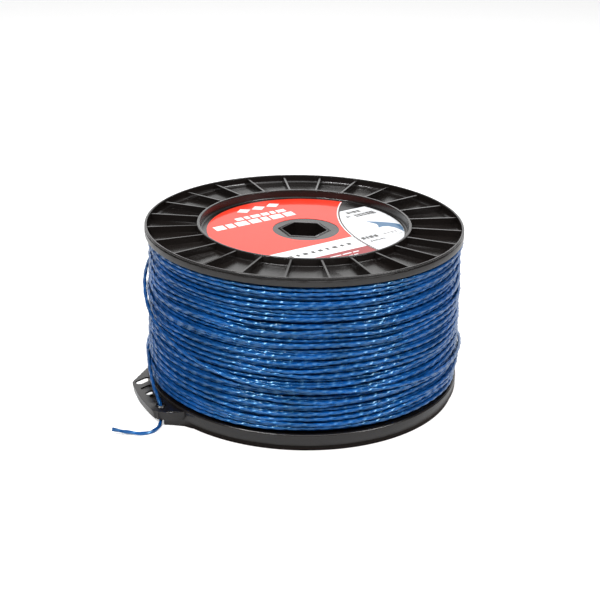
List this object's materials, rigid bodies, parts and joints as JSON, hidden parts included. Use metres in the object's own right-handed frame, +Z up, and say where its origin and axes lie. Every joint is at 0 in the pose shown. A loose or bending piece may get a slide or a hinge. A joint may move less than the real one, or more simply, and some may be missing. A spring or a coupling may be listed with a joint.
{
  "type": "trimmer line spool",
  "caption": "Flanged black plastic spool wound with twisted blue trimmer line, with a hexagonal hub bore and a slotted tab on the lower flange that holds the line's free end.",
  "frame": {"origin": "on the spool's axis, in the plane that the lower flange's rim rests on", "axes": "+Z up the spool's axis to the upper flange; the line tab points towards -X -Y"},
  "size_m": [0.2147, 0.2038, 0.109],
  "materials": {
    "black_plastic": "semi-gloss moulded plastic",
    "barrel_plastic": "matte moulded plastic",
    "hub_plastic": "semi-gloss moulded plastic",
    "label_red": "glossy laminated paper",
    "label_white": "glossy laminated paper",
    "blue_line": "glossy extruded nylon, twisted"
  },
  "bodies": {
    "root": {"upper_flange": "black_plastic", "lower_flange": "black_plastic", "barrel_tube": "barrel_plastic", "hub_tube": "hub_plastic", "main_label": "label_red", "data_label": "label_white", "line_pack": "blue_line", "loose_turn": "blue_line", "line_tail": "blue_line", "line_start": "blue_line"}
  },
  "joints": []
}
